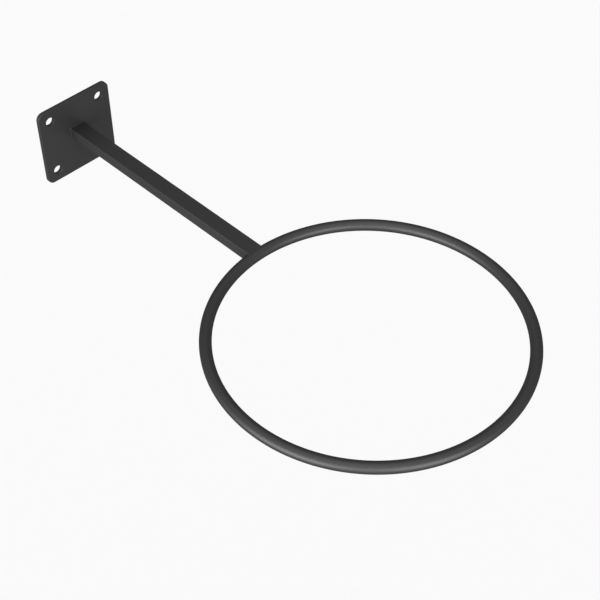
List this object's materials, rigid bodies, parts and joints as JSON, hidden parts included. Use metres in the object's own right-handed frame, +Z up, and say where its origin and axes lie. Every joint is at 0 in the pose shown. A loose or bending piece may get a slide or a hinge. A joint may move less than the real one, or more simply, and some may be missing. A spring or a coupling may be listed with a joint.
{
  "type": "wall-mounted round garment rack",
  "caption": "Round garment rack for a wall: a level hoop of round tube on the end of a straight arm, which stands out from a square wall plate.",
  "frame": {"origin": "centre of the wall plate's back face, which lies against the wall", "axes": "+Z up; +Y into the wall, along the arm; +X to the right for someone who faces the wall"},
  "size_m": [0.3398, 0.6409, 0.1],
  "materials": {
    "powder_coat": "satin black powder coat over the whole welded steel frame, with a very fine orange-peel surface"
  },
  "bodies": {
    "root": {"wall_plate": "powder_coat", "arm_tube": "powder_coat", "hoop_tube": "powder_coat", "hoop_seam_weld": "powder_coat", "arm_to_plate_weld": "powder_coat", "arm_to_hoop_weld": "powder_coat"}
  },
  "joints": []
}
